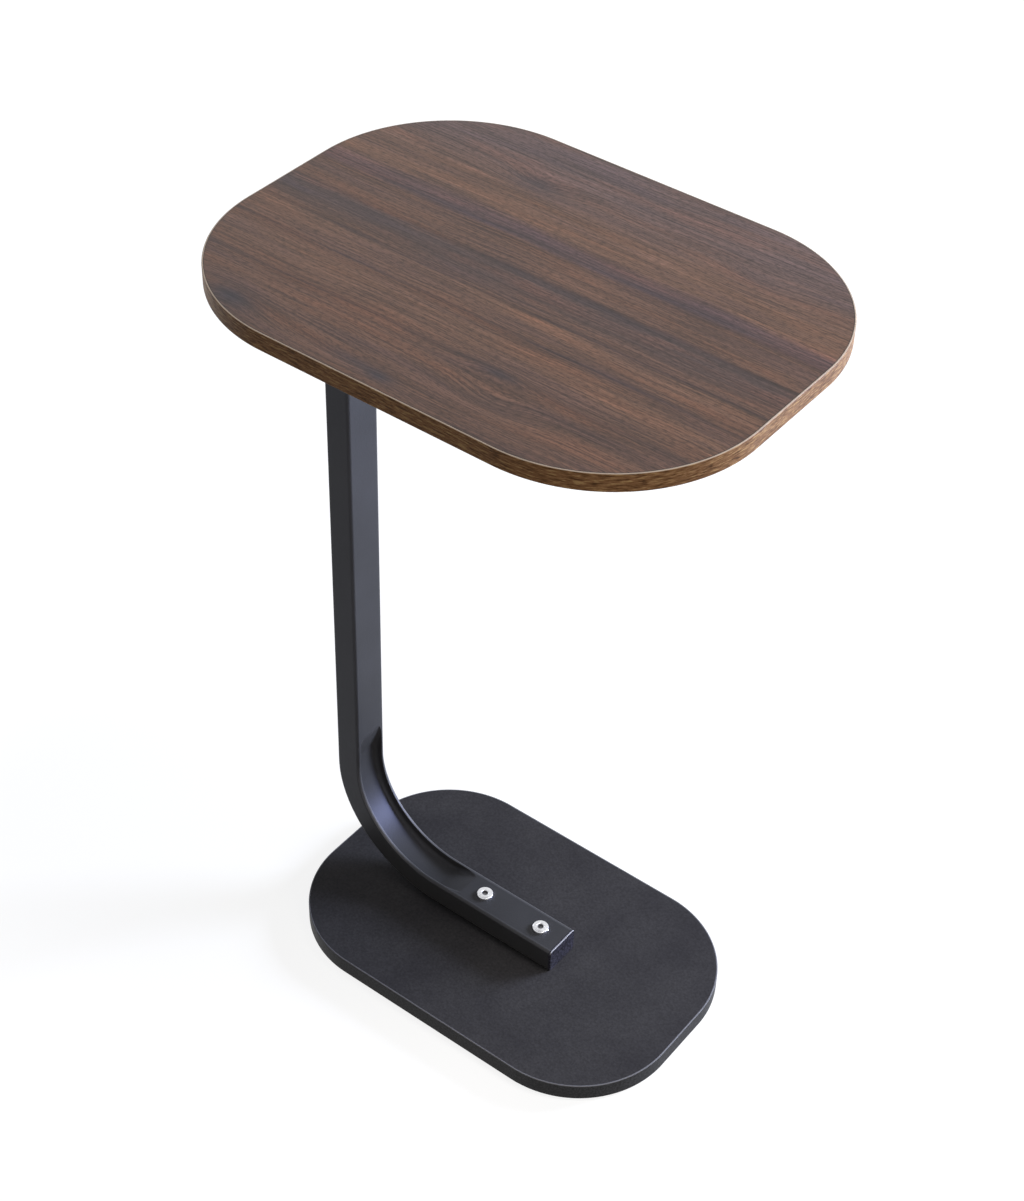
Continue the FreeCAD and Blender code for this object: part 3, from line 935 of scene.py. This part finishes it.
# Glue line: a fine dark line where the sheet meets the band, found from the distance past
# the straight sides of the outline.
glue_line = 0.8
sheet_radius = top_sheet_radius / MM
sheet_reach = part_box("top_face_laminate")[1] / MM
straight = (sheet_reach.x - sheet_radius, sheet_reach.y - sheet_radius, 0)
flat_point = add_node(walnut, "VectorMath", {"operation": "MULTIPLY"}, {0: point, 1: (1, 1, 0)})
quarter = add_node(walnut, "VectorMath", {"operation": "ABSOLUTE"}, {0: flat_point.outputs[0]})
past_straight = add_node(walnut, "VectorMath", {"operation": "SUBTRACT"}, {
    0: quarter.outputs[0], 1: straight})
outwards = add_node(walnut, "VectorMath", {"operation": "MAXIMUM"}, {
    0: past_straight.outputs[0]})
out = add_node(walnut, "VectorMath", {"operation": "LENGTH"}, {0: outwards.outputs[0]})
glued = add_node(walnut, "MapRange", inputs={
    "Value": out.outputs["Value"], "From Min": sheet_radius - glue_line,
    "From Max": sheet_radius - glue_line / 2, "To Max": 0.75})
sheet_colour = add_node(walnut, "MixRGB", inputs={
    "Fac": glued.outputs["Result"], "Color1": print_colour, "Color2": linear("#241a17")})
melamine = add_node(walnut, "MapRange", inputs={
    "Value": grains["streak"], "To Min": 0.34, "To Max": 0.46})
pressed_pores = add_node(walnut, "Bump", inputs={
    "Height": pores.outputs["Result"], "Distance": pore_relief})
fill(walnut, shader, {
    "Base Color": sheet_colour.outputs["Color"], "Roughness": melamine.outputs["Result"],
    "Normal": pressed_pores.outputs["Normal"], "Specular IOR Level": 0.4})
settle(top_face, "top_face_laminate", walnut)

# Top band: a walnut-look strip glued round the edge of the top, flush with both sheets. Like
# the strip on the base, it is scraped round along both edges after gluing.
top_band = edge_band("top_band", "top_edge_band", top_corner_radius, band_thickness("top"))

# Walnut edge strip: ABS printed with straight grain that runs along the strip. Its upper rounded
# edge is coloured as a thin light line round the top, partly the pale scraped body of the strip
# and partly a painted highlight.
edge_streak_length, edge_streak_width = 7.0, 1.0
edge_grain_relief = 0.04 * MM
highlight_line = 0.2
walnut_edge, shader, point = begin_finish("printed walnut-look edge strip")
drawn = add_node(walnut_edge, "VectorMath", {"operation": "MULTIPLY"}, {
    0: point, 1: (1 / edge_streak_length, 1 / edge_streak_length, 1 / edge_streak_width)})
edge_grain = add_node(walnut_edge, "TexNoise", inputs={
    "Vector": drawn.outputs[0], "Scale": 1.0, "Detail": 4.0, "Roughness": 0.6})
edge_print = add_node(walnut_edge, "ValToRGB", inputs={"Fac": edge_grain.outputs["Fac"]}, stops=[
    (0.34, "#483019"), (0.45, "#745233"), (0.55, "#866343"), (0.66, "#a9895d")])
# Painted highlight, together with the scraped body: a pale line along the upper rounded edge.
strip_colour = pale_edge_and_highlight(walnut_edge, point, "top_edge_band", highlight_line,
                      edge_print.outputs["Color"], "#b9aa9a")
edge_relief = add_node(walnut_edge, "Bump", inputs={
    "Height": edge_grain.outputs["Fac"], "Distance": edge_grain_relief})
fill(walnut_edge, shader, {
    "Base Color": strip_colour.outputs["Color"], "Normal": edge_relief.outputs["Normal"],
    "Roughness": 0.45, "Specular IOR Level": 0.08})
settle(top_band, "top_edge_band", walnut_edge)

# Floor: a wide studio floor, painted matt. The lamps and a glow that only the eye and
# reflections see make it read as white, and it keeps the soft shadow of the table.
floor_size = 12.0
lit_distance = 900.0
near_glow, far_glow = 0.86, 1.0


def seen_directly(owner):
    """One for rays from the eye or through gloss and glass, zero for rays that light things."""
    path = add_node(owner, "LightPath")
    seen = add_node(owner, "Math", {"operation": "MAXIMUM"}, {
        0: path.outputs["Is Camera Ray"], 1: path.outputs["Is Glossy Ray"]})
    return add_node(owner, "Math", {"operation": "MAXIMUM"}, {
        0: seen.outputs[0], 1: path.outputs["Is Transmission Ray"]}).outputs[0]


bpy.ops.object.select_all(action="DESELECT")
bpy.ops.mesh.primitive_plane_add(size=floor_size)
floor = bpy.context.object
floor.name = "studio_floor"
pale_floor, shader, point = begin_finish("pale studio floor")
distance = add_node(pale_floor, "VectorMath", {"operation": "LENGTH"}, {0: point})
distant_glow = add_node(pale_floor, "MapRange", {"interpolation_type": "SMOOTHSTEP"}, {
    "Value": distance.outputs["Value"], "From Min": lit_distance, "From Max": 3 * lit_distance,
    "To Min": near_glow, "To Max": far_glow})
glow = add_node(pale_floor, "Math", {"operation": "MULTIPLY"}, {
    0: seen_directly(pale_floor), 1: distant_glow.outputs["Result"]})
fill(pale_floor, shader, {
    "Base Color": linear("#7c7c7c"), "Roughness": 0.9, "Specular IOR Level": 0.0,
    "Emission Color": linear("#ffffff"), "Emission Strength": glow.outputs[0]})
floor.data.materials.append(pale_floor)

# Light: a white studio with daylight from a window at the right and behind, a ceiling box, and
# dim boxes in front and behind. The window throws no mirror image of itself on the top: a low
# box, whose upper edge is below the top, gives the coat its gloss instead.
room_light, room_seen = 0.1, 1.0
scene = bpy.context.scene
scene.view_settings.view_transform = "Standard"
world = bpy.data.worlds.new("white studio")
scene.world = world
world.use_nodes = True
room = add_node(world, "MapRange", inputs={
    "Value": seen_directly(world), "To Min": room_light, "To Max": room_seen})
fill(world, world.node_tree.nodes["Background"], {
    "Color": linear("#ffffff"), "Strength": room.outputs["Result"]})
object_middle = (cad_box[0] + cad_box[1]) / 2


def softbox(name, azimuth, elevation, distance, size, power, hex_colour):
    """A square lamp that faces the object. The azimuth is in degrees from +X towards +Y."""
    lamp = bpy.data.lights.new(name, "AREA")
    lamp.size = size
    lamp.energy = power
    lamp.color = linear(hex_colour)[:3]
    holder = bpy.data.objects.new(name, lamp)
    scene.collection.objects.link(holder)
    turn, rise = math.radians(azimuth), math.radians(elevation)
    out = Vector((math.cos(turn) * math.cos(rise), math.sin(turn) * math.cos(rise),
                  math.sin(rise)))
    holder.location = object_middle + out * distance
    holder.rotation_euler = out.to_track_quat("Z", "Y").to_euler()
    return holder


window = softbox("window_softbox", 58, 15, 2.6, 0.8, 160, "#dee8ff")
window.visible_glossy = False
low_box = softbox("low_softbox", 42, 5.4, 1.4, 0.35, 62, "#d4dcff")
low_box.visible_diffuse = False
low_box.visible_camera = False
softbox("ceiling_softbox", 20, 66, 3.0, 0.8, 46, "#fffaf4")
softbox("front_softbox", -28, 6, 2.2, 0.5, 13, "#fff6ea")
softbox("back_softbox", 172, 8, 2.6, 1.0, 16, "#f2f5ff")

# Camera: at the photograph's angle, above the table and in front of the open side of the C.
# Its azimuth is measured from -Y towards +X, and it aims at a point off the top's middle.
camera_azimuth = math.radians(36.337)
camera_elevation = math.radians(41.482)
camera_roll = math.radians(1.852)
camera_distance = 1431.1 * MM
camera_lens, camera_film = 68.26, 36.0
aim_right, aim_up = -8.6 * MM, -202.0 * MM
top_centre = Vector((0, 0, cad_box[1].z))
back = Vector((math.sin(camera_azimuth) * math.cos(camera_elevation),
               -math.cos(camera_azimuth) * math.cos(camera_elevation),
               math.sin(camera_elevation)))
level = Vector((math.cos(camera_azimuth), math.sin(camera_azimuth), 0))
upright = back.cross(level)
right = math.cos(camera_roll) * level + math.sin(camera_roll) * upright
up = math.cos(camera_roll) * upright - math.sin(camera_roll) * level
camera_data = bpy.data.cameras.new("camera")
camera_data.lens = camera_lens
camera_data.sensor_width = camera_film
camera = bpy.data.objects.new("camera", camera_data)
scene.collection.objects.link(camera)
turned = Matrix((right, up, back)).transposed().to_4x4()
camera.matrix_world = Matrix.Translation(
    top_centre + right * aim_right + up * aim_up + back * camera_distance) @ turned
scene.camera = camera
